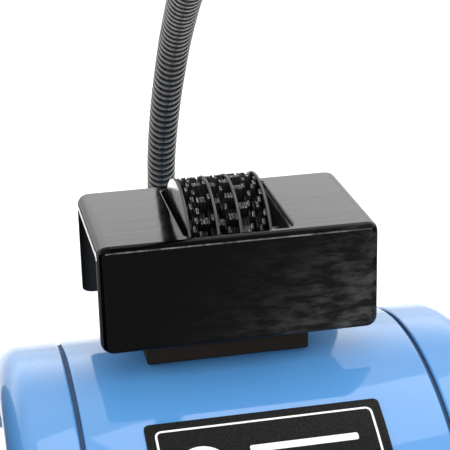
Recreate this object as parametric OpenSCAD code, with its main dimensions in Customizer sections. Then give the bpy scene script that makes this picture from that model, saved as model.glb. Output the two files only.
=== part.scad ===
// Bench grinder with two wheels, a work light on a flexible neck, and a star-wheel
// dresser stored on top of the motor. X runs along the spindle, the front is -Y,
// Z is up, and the origin is on the bench, in the middle of the four fixing holes.

/* [Motor] */
// Height of the spindle axis above the bench
axis_h = 160; // [152:1:175]
// Outer radius of the motor housing
motor_r = 70.7; // [70:0.1:72]
// Half the length of the rolled sleeve in the middle of the motor
sleeve_half = 44.5; // [44:0.1:46]
// Width of the groove between the sleeve and each end shield
seam_w = 1.1; // [0.8:0.1:1.6]
// Thickness of the sleeve
sleeve_t = 3; // [2.5:0.1:3.2]
// Radius that rounds the shoulder of each end shield
shoulder_r = 7.5; // [6:0.5:12]
// Straight rim of each end shield, from its seam to the shoulder
shield_rim_w = 9.8; // [6:0.2:12]
// Radius of the neck between the motor and each wheel guard
neck_r = 38; // [36:1:42]

/* [Wheels and guards] */
// Diameter of the grinding wheels
wheel_d = 200; // [190:1:200]
// Thickness of the grinding wheels
wheel_t = 25; // [20:1:25]
// Radius of the threaded ends of the spindle
arbor_r = 8; // [7:0.5:8]
// Distance from the middle of the motor to the inboard face of each guard
guard_x = 112; // [110:1:118]
// Outer radius of the wheel guards
guard_r = 116; // [114:1:120]
// Inside width of each guard
guard_w = 54; // [52:1:60]
// Angle of the guard opening below the horizontal
open_low = 20; // [15:1:25]
// Angle of the guard opening above the horizontal
open_high = 60; // [55:1:65]

/* [Tool rests and eye shields] */
// Gap between a wheel and its tool rest
rest_gap = 2.5; // [2:0.1:4]
// Width of a tool rest
rest_w = 64; // [50:1:66]
// How far a tool rest slides away from the wheel
rest_travel = 15; // [5:1:15]
// How far a spark deflector slides away from the wheel
deflector_travel = 7; // [3:1:7]
// Width of an eye shield
shield_w = 96; // [80:1:100]

/* [Pedestal] */
// Length of the foot flange along the spindle
foot_x = 224; // [216:1:232]
// Depth of the foot flange
foot_y = 176; // [170:1:184]
// Spacing of the fixing holes along X
hole_dx = 192; // [184:1:194]
// Spacing of the fixing holes along Y
hole_dy = 144; // [140:1:148]
// Radius of the fixing holes
hole_r = 4.5; // [3.5:0.1:5]

/* [Dresser] */
// Left end of the dresser's channel
channel_x0 = -37; // [-38:0.1:-36]
// Right end of the dresser's channel
channel_x1 = 34.25; // [33:0.05:36]
// Depth of the channel from front to back
channel_d = 42.55; // [42.5:0.05:43]
// Front face of the channel
channel_y0 = -11.4; // [-11.6:0.1:-11]
// Height of the channel's lower edges above the spindle axis
channel_z0 = 77.6; // [77:0.1:78]
// Height of the channel's flat top above the spindle axis
channel_z1 = 105.9; // [105.5:0.1:106.5]
// Thickness of the channel's steel
channel_t = 2; // [1.6:0.1:2]
// Radius of the smooth discs between the cutters
disc_r = 19; // [18.5:0.1:19]
// Number of teeth on each star cutter
star_teeth = 18; // [14:1:22]

/* [Work light] */
// Radius of the flexible neck
neck_tube_r = 4.4; // [4:0.05:4.6]
// Angle of the lamp's beam from the vertical
beam_tilt = 52; // [48:1:56]
// Radius of the lampshade's rim
shade_r = 33; // [28:1:34]

/* [Hidden] */
$fn = 64;
eps = 0.05;
seam_x = sleeve_half + seam_w;
shield_face_x = seam_x + shield_rim_w + shoulder_r;
shield_wall = 5;
lip_r = motor_r - 1.2;
sleeve_in_r = motor_r - sleeve_t;
stator_r = sleeve_in_r - 0.3;
stator_half = 26;
bore_r = 36.5;
rotor_r = bore_r - 0.4;
core_r = 12;
journal_r = 10;
bearing_r = 23.5;
bearing_x0 = 84;
bearing_x1 = 98;
tie_r = 56;
wheel_r = wheel_d / 2;
flange_x = guard_x + 7;
flange_t = 5;
flange_r = 36;
blotter_t = 0.6;
label_top = 22.7;
label_arc = 31;
wheel_x0 = flange_x + flange_t + blotter_t;
wheel_x1 = wheel_x0 + wheel_t;
wheel_xm = (wheel_x0 + wheel_x1) / 2;
nut_x0 = wheel_x1 + blotter_t + flange_t;
nut_w = 10.5;
sheet_t = 2.5;
guard_x1 = guard_x + guard_w + sheet_t;
pad_h = 6;
flange_top = 14;
body_x0 = 170;
body_y0 = 136;
body_x1 = 84;
body_y1 = 112;
body_top = axis_h - 48;
wall = 5;
channel_y1 = channel_y0 + channel_d;
cutter_y = (channel_y0 + channel_y1) / 2;
cutter_z = channel_z1 + 8.1 - disc_r;
disc_x = [-13.15, -5.8, 0, 7.5];
disc_t = 0.8;
pin_r = 4;
block_x0 = -25;
block_x1 = 17.2;
block_y0 = -5.5;
window_x0 = -14.6;
window_x1 = 12.9;
window_y0 = -8.4;
window_y1 = 28.1;

// Switch in the sloping front wall, and the cable's gland in the rear wall
switch_z = 50;
wall_lean = atan((body_y0 - body_y1) / 2 / (body_top - flange_top));
switch_y = -body_y0 / 2 + (switch_z - flange_top) * tan(wall_lean);
gland_x = 45;
gland_z = 36;
gland_y = body_y0 / 2 - (gland_z - flange_top) * tan(wall_lean);
cover_screw_x = 60;
cover_screw_y = 74;
cradle_x = 30;

// Bosses of the guards, bolts of the rests' brackets, and pivots of the eye shields
boss_angles = [75, 185, 300];
boss_at = guard_r - 6.5;
neck_bolt_r = 32;
deflector_screw = guard_r + 9;
rest_edge = -(wheel_r + rest_gap);
rest_front = rest_edge - 40;
rest_z0 = -25;
rest_screw_y = rest_edge - 24;
bracket_bolt_y = [-78, -62];
bracket_bolt_z = -62;
pivot_angle = 72;
pivot_r = 100;
pivot_y = -pivot_r * cos(pivot_angle);
pivot_z = pivot_r * sin(pivot_angle);
arm_x0 = guard_x - 4.2;
shield_top = [-84, 128];
shield_low = [-146, 62];
shield_t = 3;
shield_run = shield_low - shield_top;
shield_l = norm(shield_run);
shield_tilt = atan2(shield_run[1], -shield_run[0]);

// Route of the flexible neck, heights above the spindle axis: out of the motor's rear,
// up and forward over the dresser, and up again to the lamp
socket_z = -20;
neck_route = [
    [0, 76, -20], [0, 91, -20], [0, 105, -18], [0, 118, -11], [0, 127, 0],
    [-0.2, 130.5, 15], [-0.4, 129.5, 32], [-0.8, 124.5, 48], [-1.4, 116.5, 64],
    [-2.2, 106, 79], [-3.5, 94.5, 93], [-4.4, 83, 106], [-5.1, 71.5, 118],
    [-5.8, 58.5, 130], [-6.6, 44.5, 141.5], [-7.6, 29.5, 151.5], [-8.8, 14, 160.5],
    [-9.5, -2, 169.5], [-10, -16, 180], [-10, -27, 194], [-10, -35, 210],
    [-10, -42, 227], [-10, -49, 244], [-10, -58, 261], [-10, -70, 276],
    [-10, -86, 287], [-10, -103, 290], [-10, -118, 285], [-10, -129, 276]
];
neck_joints = [5, 17, 22];
neck_end = neck_route[len(neck_route) - 1];

// ---------- shared shapes ----------

// Points of an arc from angle a0 to a1
function arc(cx, cy, r, a0, a1, n = 8) =
    [for (i = [0:n]) let (a = a0 + (a1 - a0) * i / n) [cx + r * cos(a), cy + r * sin(a)]];

// Moves a shape drawn round the spindle to the spindle's height
module at_spindle() {
    translate([0, 0, axis_h]) children();
}

// Turns a profile of [radius, x] points about the spindle
module lathe(points, facets = 96) {
    at_spindle() rotate([0, 90, 0]) rotate_extrude($fn = facets) polygon(points);
}

// Plain ring about the spindle
module ring(x0, x1, r0, r1) {
    lathe([[r0, x0], [r1, x0], [r1, x1], [r0, x1]]);
}

// Cylinder along X from x0 to x1
module rod_x(x0, x1, r, y = 0, z = 0) {
    translate([x0, y, z]) rotate([0, 90, 0]) cylinder(r = r, h = x1 - x0);
}

// The shape and its mirror image on the other end of the spindle
module both_ends() {
    children();
    mirror([1, 0, 0]) children();
}

// Plate with round vertical corners, centred on the Z axis
module round_plate(x, y, z0, z1, r) {
    translate([0, 0, z0]) linear_extrude(z1 - z0) union() {
        square([x - 2 * r, y], center = true);
        square([x, y - 2 * r], center = true);
        for (sx = [-1, 1], sy = [-1, 1])
            translate([sx * (x / 2 - r), sy * (y / 2 - r)]) circle(r);
    }
}

// Puts local +Z along the guard's radius, at an angle above the front horizontal
module guard_angle(angle) {
    at_spindle() rotate([90 - angle, 0, 0]) children();
}

// ---------- pedestal ----------

module pedestal_form(inset, z0, z1) {
    hull() {
        round_plate(body_x0 - 2 * inset, body_y0 - 2 * inset, z0, z0 + 1, 14, $fn = 32);
        round_plate(body_x1 - 2 * inset, body_y1 - 2 * inset, z1 - 1, z1, 14, $fn = 32);
    }
}

module fixing_holes(z0, z1) {
    for (sx = [-1, 1], sy = [-1, 1])
        translate([sx * hole_dx / 2, sy * hole_dy / 2, z0]) cylinder(r = hole_r, h = z1 - z0);
}

// Frame of the switch, with +Z pointing out of the sloping front wall
module at_switch() {
    translate([0, switch_y, switch_z]) rotate([90 - wall_lean, 0, 0]) children();
}

// Holes for the bolts that hold the motor on its cradle
module cradle_holes() {
    for (sx = [-1, 1]) translate([sx * cradle_x, 0, 0]) cylinder(r = 3.1, h = axis_h);
}

module cover_holes(r, h) {
    for (sx = [-1, 1], sy = [-1, 1])
        translate([sx * cover_screw_x, sy * cover_screw_y, 0]) cylinder(r = r, h = h);
}

module base_casting() {
    color("royalblue") difference() {
        union() {
            round_plate(foot_x, foot_y, pad_h, flange_top, 16);
            pedestal_form(0, flange_top - 1, body_top);
        }
        pedestal_form(wall, pad_h - 2, axis_h - motor_r - wall);
        at_spindle() rod_x(-body_x0, body_x0, motor_r + 0.1);
        fixing_holes(0, flange_top + 1);
        at_switch() cube([20, 29, 40], center = true);
        translate([gland_x, gland_y - 20, gland_z]) rotate([-90, 0, 0])
            cylinder(r = 8.1, h = 40);
        cradle_holes();
        cover_holes(2, pad_h + 6);
    }
}

module base_cover() {
    color("dimgray") difference() {
        round_plate(160, 158, pad_h - 2, pad_h, 6);
        cover_holes(2.2, pad_h + 1);
    }
}

module rubber_feet() {
    color("black") for (sx = [-1, 1], sy = [-1, 1])
        translate([sx * hole_dx / 2, sy * hole_dy / 2, 0]) difference() {
            cylinder(r = 14, h = pad_h);
            translate([0, 0, -1]) cylinder(r = hole_r, h = pad_h + 2);
        }
}

// Screws of the bottom cover and bolts that hold the motor on its cradle
module base_screws() {
    head_z = axis_h - motor_r - wall - 4;
    color("silver") {
        for (sx = [-1, 1], sy = [-1, 1]) translate([sx * cover_screw_x, sy * cover_screw_y, 0]) {
            translate([0, 0, pad_h - 4]) cylinder(r = 4, h = 2);
            translate([0, 0, pad_h - 3]) cylinder(r = 1.95, h = 8);
        }
        for (sx = [-1, 1]) translate([sx * cradle_x, 0, head_z]) {
            cylinder(r = 5.8, h = 3.9, $fn = 6);
            translate([0, 0, 3]) cylinder(r = 3, h = wall + sleeve_t + 3);
        }
    }
}

module switch_body() {
    color("black") at_switch() difference() {
        union() {
            translate([-12, -17, 0.1]) cube([24, 34, 2]);
            translate([-9.8, -14.3, -20]) cube([19.6, 28.6, 21]);
        }
        translate([-7.5, -10.6, -11]) cube([15, 21.2, 20]);
    }
}

module switch_rocker() {
    color("firebrick") at_switch() translate([7.2, 0, 0]) rotate([0, -90, 0])
        linear_extrude(14.4) intersection() {
            circle(10.2);
            polygon([[-4, -12], [-4, 12], [7.4, 12], [3, 0], [2.2, -12]]);
        }
}

module capacitor() {
    color("white") rod_x(-40, 32, 17, 28, 40);
}

module capacitor_clip() {
    color("silver") difference() {
        union() {
            rod_x(-8, 4, 19, 28, 40);
            translate([-8, 9, pad_h + 0.1]) cube([12, 38, 20]);
        }
        rod_x(-9, 5, 17.1, 28, 40);
    }
}

module terminal_block() {
    color("ivory") difference() {
        translate([-30, -45, pad_h + 0.1]) cube([60, 18, 16]);
        for (i = [-2:2]) translate([i * 11, -50, pad_h + 9]) rotate([-90, 0, 0])
            cylinder(r = 2.4, h = 30);
    }
}

module cable_gland() {
    color("black") translate([gland_x, gland_y, gland_z]) rotate([-90, 0, 0]) difference() {
        union() {
            translate([0, 0, -16]) cylinder(r = 8, h = 18);
            translate([0, 0, 1.7]) cylinder(r = 13, h = 6, $fn = 6);
            translate([0, 0, 7]) cylinder(r1 = 11, r2 = 7, h = 12);
            translate([0, 0, -15]) cylinder(r = 11, h = 5, $fn = 6);
        }
        translate([0, 0, -17]) cylinder(r = 4, h = 40);
    }
}

// ---------- motor ----------

module motor_sleeve() {
    color("royalblue") difference() {
        ring(-sleeve_half, sleeve_half, sleeve_in_r, motor_r);
        cradle_holes();
        at_socket() cylinder(r = 4, h = motor_r + 5);
    }
}

module end_shield(stop_x) {
    shoulder_x = shield_face_x - shoulder_r;
    profile = concat(
        [[lip_r, sleeve_half + eps], [lip_r, seam_x], [motor_r, seam_x]],
        arc(motor_r - shoulder_r, shoulder_x, shoulder_r, 0, 90, 12),
        arc(neck_r + 5, shield_face_x + 5, 5, -90, -180, 6),
        [[neck_r, 104], [46, 106], [46, guard_x], [11, guard_x], [11, stop_x],
         [bearing_r, stop_x], [bearing_r, 82], [neck_r - 4, 82], [neck_r - 4, 68],
         [40, shield_face_x - shield_wall], [56, shield_face_x - shield_wall],
         [66.2, seam_x + 4], [64.5, 40], [sleeve_in_r - 0.1, 40],
         [sleeve_in_r - 0.1, sleeve_half + eps]]
    );
    difference() {
        lathe(profile, 128);
        at_spindle() for (a = [45:90:315]) rotate([a, 0, 0]) rod_x(50, 70, 2.6, 0, tie_r);
        at_spindle() for (a = [90:120:330]) rotate([a, 0, 0]) rod_x(104, 120, 2.5, 0, neck_bolt_r);
    }
}

module left_end_shield() {
    color("royalblue") mirror([1, 0, 0]) end_shield(bearing_x1 + eps);
}

module right_end_shield() {
    color("royalblue") end_shield(bearing_x1 + 1.5);
}

module tie_bolts() {
    head_x = shield_face_x;
    color("silver") at_spindle() for (a = [45:90:315]) rotate([a, 0, 0]) {
        rod_x(-head_x - 3, head_x + 7, 2.5, 0, tie_r);
        rod_x(-head_x - 3.6, -head_x - eps, 4.6, 0, tie_r);
        translate([head_x + eps, 0, tie_r]) rotate([0, 90, 0]) cylinder(r = 4.6, h = 4, $fn = 6);
    }
}

module stator_core() {
    slot_count = 24;
    color("gray") difference() {
        ring(-stator_half, stator_half, bore_r, stator_r);
        at_spindle() for (i = [1:slot_count]) rotate([i * 360 / slot_count, 0, 0])
            translate([-stator_half - 1, -2.5, 39]) cube([2 * stator_half + 2, 5, 11]);
        at_spindle() for (a = [45:90:315]) rotate([a, 0, 0])
            rod_x(-stator_half - 1, stator_half + 1, 2.6, 0, tie_r);
    }
}

module stator_windings() {
    color("peru") both_ends() at_spindle() rotate([0, 90, 0])
        rotate_extrude($fn = 96) translate([45, stator_half + 6.5]) circle(6);
}

module rotor() {
    color("silver") lathe([
        [core_r, -33], [20, -33], [20, -27], [26, -27], [26, -33], [34, -33], [34, -27],
        [rotor_r, -27], [rotor_r, 27], [34, 27], [34, 33], [26, 33], [26, 27], [20, 27],
        [20, 33], [core_r, 33]
    ]);
}

module spindle_shaft() {
    end_x = nut_x0 + nut_w + 4;
    color("lightgray") lathe([
        [0, -end_x], [arbor_r - 1, -end_x], [arbor_r, -end_x + 1], [arbor_r, -flange_x],
        [journal_r, -flange_x], [journal_r, -bearing_x0], [core_r, -bearing_x0],
        [core_r, bearing_x0], [journal_r, bearing_x0], [journal_r, flange_x],
        [arbor_r, flange_x], [arbor_r, end_x - 1], [arbor_r - 1, end_x], [0, end_x]
    ]);
}

module bearing_outer_rings() {
    color("silver") both_ends() ring(bearing_x0, bearing_x1, 19.6, bearing_r);
}

module bearing_inner_rings() {
    color("silver") both_ends() ring(bearing_x0, bearing_x1, journal_r, 13.9);
}

module bearing_balls() {
    color("gainsboro") both_ends() at_spindle() for (a = [0:45:315]) rotate([a, 0, 0])
        translate([(bearing_x0 + bearing_x1) / 2, 0, 16.75]) sphere(2.75);
}

module wave_washer() {
    color("silver") ring(bearing_x1 + 0.2, bearing_x1 + 1.3, 18, 23);
}

// Thin sheet bent round the front of the sleeve
module rating_label() {
    color("black") at_spindle() rotate([label_top, 0, 0]) rotate([0, 90, 0]) rotate([0, 0, 180])
        translate([0, 0, -30]) rotate_extrude(angle = label_arc, $fn = 128)
            translate([motor_r + eps, 0]) square([0.4, 59]);
}

// ---------- wheel guards ----------

// Sector of the guard that is cut away at the front, outside radius r0
module opening_sector(x0, x1, r0) {
    at_spindle() translate([x0, 0, 0]) rotate([90, 0, 90]) linear_extrude(x1 - x0)
        polygon(concat(
            [for (i = [0:8]) let (a = 180 + open_low - i * (open_low + open_high) / 8)
                [r0 * cos(a), -r0 * sin(-a)]],
            [for (i = [8:-1:0]) let (a = 180 + open_low - i * (open_low + open_high) / 8)
                [140 * cos(a), -140 * sin(-a)]]
        ));
}

module guard() {
    difference() {
        union() {
            difference() {
                lathe([[14, guard_x + eps], [guard_r, guard_x + eps], [guard_r, guard_x1],
                       [guard_r - sheet_t, guard_x1], [guard_r - sheet_t, guard_x + sheet_t],
                       [14, guard_x + sheet_t]], 128);
                opening_sector(guard_x - 1, guard_x1 + 1, 72);
            }
            for (a = boss_angles) guard_angle(a)
                rod_x(guard_x + 1, guard_x1, 4.5, 0, boss_at);
            guard_angle(open_high) translate([wheel_xm - 18, 0, guard_r - 2.4])
                cube([36, 2.5, 20]);
        }
        for (a = boss_angles) guard_angle(a) rod_x(guard_x1 - 12, guard_x1 + 1, 2, 0, boss_at);
        at_spindle() for (a = [90:120:330]) rotate([a, 0, 0]) rod_x(104, 120, 2.6, 0, neck_bolt_r);
        guard_angle(open_high) translate([wheel_xm, -1, deflector_screw]) rotate([-90, 0, 0])
            cylinder(r = 3.1, h = 8);
        for (y = bracket_bolt_y)
            at_spindle() rod_x(guard_x - 1, guard_x + 6, 3.1, y, bracket_bolt_z);
        guard_angle(pivot_angle) rod_x(guard_x - 1, guard_x + 6, 3.1, 0, pivot_r);
    }
}

module left_guard() {
    color("dimgray") mirror([1, 0, 0]) guard();
}

module right_guard() {
    color("dimgray") guard();
}

module guard_cover() {
    x0 = guard_x1 + eps;
    difference() {
        lathe([[0, x0 + 7], [84, x0 + 7], [94, x0], [guard_r, x0], [guard_r, x0 + 2],
               [95, x0 + 2], [85, x0 + 9], [0, x0 + 9]], 128);
        opening_sector(guard_x1 - 1, guard_x1 + 12, 72);
        for (a = boss_angles) guard_angle(a)
            rod_x(guard_x1 - 12, guard_x1 + 12, 2.1, 0, boss_at);
    }
}

module guard_covers() {
    color("dimgray") both_ends() guard_cover();
}

// Screws that hold the covers, and those that hold the guards to the end shields
module guard_screws() {
    color("silver") both_ends() {
        for (a = boss_angles) guard_angle(a) {
            rod_x(guard_x1 - 10, guard_x1 + 3, 1.95, 0, boss_at);
            rod_x(guard_x1 + 2.1, guard_x1 + 4.6, 4, 0, boss_at);
        }
        at_spindle() for (a = [90:120:330]) rotate([a, 0, 0]) {
            rod_x(105, guard_x + 4, 2.45, 0, neck_bolt_r);
            rod_x(guard_x + sheet_t + eps, guard_x + 5, 4.4, 0, neck_bolt_r);
        }
    }
}

// ---------- spindle assembly ----------

module wheel() {
    lathe([[arbor_r + 0.1, wheel_x0], [wheel_r - 0.8, wheel_x0], [wheel_r, wheel_x0 + 0.8],
           [wheel_r, wheel_x1 - 0.8], [wheel_r - 0.8, wheel_x1], [arbor_r + 0.1, wheel_x1]], 128);
}

module left_wheel() {
    color("darkgray") mirror([1, 0, 0]) wheel();
}

module right_wheel() {
    color("gainsboro") wheel();
}

module inner_flanges() {
    x1 = flange_x + flange_t;
    color("silver") both_ends() lathe([
        [arbor_r + 0.1, flange_x], [20, flange_x], [flange_r, flange_x + 2], [flange_r, x1],
        [26, x1], [26, x1 - 1], [arbor_r + 0.1, x1 - 1]
    ]);
}

module outer_flanges() {
    x0 = wheel_x1 + blotter_t;
    color("silver") both_ends() lathe([
        [arbor_r + 0.1, x0 + 1], [26, x0 + 1], [26, x0], [flange_r, x0], [flange_r, x0 + 2.5],
        [20, x0 + flange_t], [arbor_r + 0.1, x0 + flange_t]
    ]);
}

module blotters() {
    color("darkkhaki") both_ends() {
        ring(wheel_x0 - blotter_t, wheel_x0, arbor_r + 0.1, flange_r + 2);
        ring(wheel_x1, wheel_x1 + blotter_t, arbor_r + 0.1, flange_r + 2);
    }
}

module spindle_nuts() {
    color("silver") both_ends() at_spindle() difference() {
        translate([nut_x0, 0, 0]) rotate([0, 90, 0]) cylinder(r = 13.8, h = nut_w, $fn = 6);
        rod_x(nut_x0 - 1, nut_x0 + nut_w + 1, arbor_r + 0.05);
    }
}

// ---------- spark deflectors ----------

module deflector() {
    guard_angle(open_high) difference() {
        translate([wheel_xm - 24, -2.3, wheel_r + 2.5]) cube([48, 2, 31]);
        hull() for (z = [deflector_screw - deflector_travel, deflector_screw])
            translate([wheel_xm, -4, z]) rotate([-90, 0, 0]) cylinder(r = 3.3, h = 6, $fn = 32);
    }
}

module left_deflector() {
    color("silver") mirror([1, 0, 0]) deflector();
}

module right_deflector() {
    color("silver") deflector();
}

module deflector_knobs() {
    color("black") both_ends() guard_angle(open_high)
        translate([wheel_xm, 0, deflector_screw]) rotate([-90, 0, 0]) {
            translate([0, 0, -13]) cylinder(r = 8, h = 10.4);
            translate([0, 0, -4]) cylinder(r = 3, h = 11);
            translate([0, 0, 2.7]) cylinder(r = 6, h = 4, $fn = 6);
        }
}

// ---------- tool rests ----------

// Arm and shelf that carry one tool rest, bolted to the inboard side of a guard
module rest_bracket() {
    arm_x = guard_x - 5;
    at_spindle() difference() {
        union() {
            translate([arm_x, 0, 0]) rotate([90, 0, 90]) linear_extrude(5)
                polygon([[rest_front, rest_z0 - 5], [rest_front, rest_z0 - eps],
                         [-108, rest_z0 - eps], [-54, -52], [-54, -72], [-86, -72]]);
            translate([arm_x, rest_front, rest_z0 - 5]) cube([rest_w, -108 - rest_front, 5 - eps]);
        }
        translate([wheel_xm, rest_screw_y, rest_z0 - 8]) cylinder(r = 3.1, h = 12);
        for (y = bracket_bolt_y) rod_x(arm_x - 1, arm_x + 6, 3.1, y, bracket_bolt_z);
    }
}

module rest_brackets() {
    color("dimgray") both_ends() rest_bracket();
}

module tool_rest() {
    at_spindle() difference() {
        translate([wheel_xm - rest_w / 2, 0, 0]) rotate([90, 0, 90]) linear_extrude(rest_w)
            polygon([[rest_front, rest_z0], [rest_edge - 2, rest_z0], [rest_edge - 2, rest_z0 + 4],
                     [rest_front + 4, rest_z0 + 4], [rest_front + 4, -4], [rest_edge, -4],
                     [rest_edge, 0], [rest_front, 0]]);
        hull() for (y = [0, rest_travel])
            translate([wheel_xm, rest_screw_y + y, rest_z0 - 1]) cylinder(r = 3.3, h = 6, $fn = 32);
    }
}

module left_rest() {
    color("silver") mirror([1, 0, 0]) tool_rest();
}

module right_rest() {
    color("silver") tool_rest();
}

// Clamping bolts and knobs of the rests, and the hex bolts of their brackets
module rest_knobs() {
    color("black") both_ends() at_spindle() {
        translate([wheel_xm, rest_screw_y, 0]) {
            translate([0, 0, rest_z0 - 22]) cylinder(r = 12, h = 16.7);
            translate([0, 0, rest_z0 - 8]) cylinder(r = 3, h = 14);
            translate([0, 0, rest_z0 + 4.3]) cylinder(r = 6.5, h = 3);
        }
        for (y = bracket_bolt_y) {
            translate([guard_x - 9.2, y, bracket_bolt_z]) rotate([0, 90, 0])
                cylinder(r = 5.8, h = 4, $fn = 6);
            rod_x(guard_x - 7, guard_x + 4, 3, y, bracket_bolt_z);
        }
    }
}

// ---------- eye shields ----------

// Frame of an eye shield: its upper edge on X, the sheet running along local -Y
module at_shield() {
    at_spindle() translate([0, shield_top[0], shield_top[1]]) rotate([-shield_tilt, 0, 0])
        children();
}

// Flat bar from the pivot to the shield's upper edge, with the strip that holds the sheet
module shield_arm() {
    boss = 5;
    end_y = shield_top[0] - boss * cos(shield_tilt) + boss * sin(shield_tilt);
    end_z = shield_top[1] + boss * sin(shield_tilt) + boss * cos(shield_tilt);
    difference() {
        union() {
            at_spindle() translate([arm_x0, 0, 0]) rotate([90, 0, 90]) linear_extrude(3) hull() {
                translate([pivot_y, pivot_z]) circle(8, $fn = 32);
                translate([end_y, end_z]) circle(boss - eps, $fn = 32);
            }
            at_shield() translate([wheel_xm - shield_w / 2 + 6, -12, 0.02])
                cube([shield_w - 12, 13, 2.4]);
        }
        at_spindle() rod_x(arm_x0 - 2, arm_x0 + 5, 3.1, pivot_y, pivot_z);
        at_shield() translate([wheel_xm - shield_w / 2 - 1, -20, -shield_t - 0.3])
            cube([shield_w + 2, 20.3, shield_t + 0.3]);
    }
}

module left_shield_arm() {
    color("dimgray") mirror([1, 0, 0]) shield_arm();
}

module right_shield_arm() {
    color("dimgray") shield_arm();
}

// Clear sheet with rounded lower corners
module eye_shield() {
    r = 12;
    at_shield() translate([wheel_xm - shield_w / 2, -shield_l, -shield_t])
        linear_extrude(shield_t) union() {
        translate([0, r]) square([shield_w, shield_l - r]);
        translate([r, 0]) square([shield_w - 2 * r, shield_l]);
        for (x = [r, shield_w - r]) translate([x, r]) circle(r);
    }
}

module left_eye_shield() {
    color("lightcyan", 0.4) mirror([1, 0, 0]) eye_shield();
}

module right_eye_shield() {
    color("lightcyan", 0.4) eye_shield();
}

module shield_pivots() {
    color("black") both_ends() at_spindle() {
        rod_x(arm_x0 - 12, arm_x0 - 0.3, 9, pivot_y, pivot_z);
        rod_x(arm_x0 - 4, guard_x + 6, 3.05, pivot_y, pivot_z);
        translate([guard_x + sheet_t + eps, pivot_y, pivot_z]) rotate([0, 90, 0])
            cylinder(r = 5.8, h = 4, $fn = 6);
    }
}

// ---------- work light ----------

// Frame of the neck's socket, with +Z pointing out of the motor's rear
module at_socket() {
    at_spindle() translate([0, 0, socket_z]) rotate([-90, 0, 0]) children();
}

module lamp_socket() {
    neck_start = neck_route[0][1];
    color("black") difference() {
        at_socket() {
            translate([0, 0, 50]) cylinder(r = 7.5, h = neck_start - 38);
            translate([0, 0, 50]) cylinder(r = 9, h = neck_start - 45, $fn = 6);
        }
        at_spindle() rod_x(-40, 40, motor_r + eps);
        at_socket() translate([0, 0, neck_start]) cylinder(r = neck_tube_r + 0.2, h = 20);
    }
    color("black") difference() {
        at_socket() translate([0, 0, 50]) cylinder(r = 3.9, h = neck_start - 53);
        at_spindle() rod_x(-40, 40, sleeve_in_r + eps);
    }
}

// Smooth curve through b and c, with a before them and d after them
function catmull(a, b, c, d, t) =
    0.5 * (2 * b + (c - a) * t + (2 * a - 5 * b + 4 * c - d) * t * t
           + (3 * b - a - 3 * c + d) * t * t * t);

// Smooth points of the neck between two points of the route
function neck_points(i0, i1, n = 3) = [
    for (i = [i0:i1 - 1], k = [0:n - 1]) catmull(
        neck_route[max(i - 1, 0)], neck_route[i], neck_route[i + 1],
        neck_route[min(i + 2, len(neck_route) - 1)], k / n),
    neck_route[i1]
];

// Tube swept along points that stay near the YZ plane
module sweep_tube(path, r, sides = 12) {
    last = len(path) - 1;
    function tangent(i) = let (v = path[min(i + 1, last)] - path[max(i - 1, 0)]) v / norm(v);
    points = [for (i = [0:last]) let (
            t = tangent(i), across = cross(t, [1, 0, 0]), n = across / norm(across),
            b = cross(n, t))
        for (k = [0:sides - 1]) path[i] + r * (b * cos(k * 360 / sides) + n * sin(k * 360 / sides))];
    walls = [for (i = [0:last - 1], k = [0:sides - 1])
        [i * sides + k, (i + 1) * sides + k, (i + 1) * sides + (k + 1) % sides,
         i * sides + (k + 1) % sides]];
    caps = [[for (k = [0:sides - 1]) k], [for (k = [sides - 1:-1:0]) last * sides + k]];
    polyhedron(points, concat(walls, caps), convexity = 4);
}

// One stretch of the neck: a ball at its upper joint, a cup at its lower one
module neck_stretch(i0, i1, cup, ball) {
    at_spindle() difference() {
        union() {
            sweep_tube(neck_points(i0, i1), neck_tube_r);
            if (ball) translate(neck_route[i1]) sphere(neck_tube_r - 0.1);
        }
        if (cup) translate(neck_route[i0]) sphere(neck_tube_r + 0.15);
    }
}

module neck_root() {
    color("black") neck_stretch(0, neck_joints[0], false, true);
}

module neck_lower() {
    color("black") neck_stretch(neck_joints[0], neck_joints[1], true, true);
}

module neck_middle() {
    color("black") neck_stretch(neck_joints[1], neck_joints[2], true, true);
}

module neck_upper() {
    color("black") neck_stretch(neck_joints[2], len(neck_route) - 1, true, true);
}

// Frame of the lamp, with the beam along local -Z
module at_lamp() {
    at_spindle() translate(neck_end) rotate([-beam_tilt, 0, 0]) children();
}

module lamp_shade() {
    back_r = 12;
    outer = concat([[0, -6], [back_r, -6]], arc(back_r, -10, 4, 90, 0, 4),
                   [[back_r + 4, -24], [shade_r, -62], [shade_r, -70]]);
    inner = [[shade_r - 1.6, -70], [shade_r - 1.6, -62], [back_r + 2.4, -24.4],
             [back_r + 2.4, -12], [0, -12]];
    color("black") at_lamp() difference() {
        union() {
            rotate_extrude($fn = 96) polygon(concat(outer, inner));
            translate([0, 0, -8]) cylinder(r = 7, h = 6);
        }
        sphere(neck_tube_r + 0.15);
        translate([0, -11, -16]) rotate([90, 0, 0]) cylinder(r = 4.2, h = 11);
    }
}

module lamp_bulb() {
    color("white") at_lamp() union() {
        translate([0, 0, -26]) cylinder(r = 9, h = 13.9);
        rotate_extrude($fn = 64) polygon(concat(
            [[0, -25], [12, -25]], arc(0, -44, 17, 35, -90, 12)));
    }
}

module lamp_button() {
    color("firebrick") at_lamp() translate([0, -14.2, -16]) rotate([90, 0, 0]) cylinder(r = 4, h = 6);
}

// ---------- dresser ----------

// Outline of the channel seen along X, as [y, z] with folded upper corners
module channel_outline() {
    fold = 1.6;
    polygon(concat(
        [[channel_y0, channel_z0]],
        arc(channel_y0 + fold, channel_z1 - fold, fold, 180, 90, 5),
        arc(channel_y1 - fold, channel_z1 - fold, fold, 90, 0, 5),
        [[channel_y1, channel_z0], [channel_y1 - channel_t, channel_z0],
         [channel_y1 - channel_t, channel_z1 - channel_t],
         [channel_y0 + channel_t, channel_z1 - channel_t], [channel_y0 + channel_t, channel_z0]]
    ));
}

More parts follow.
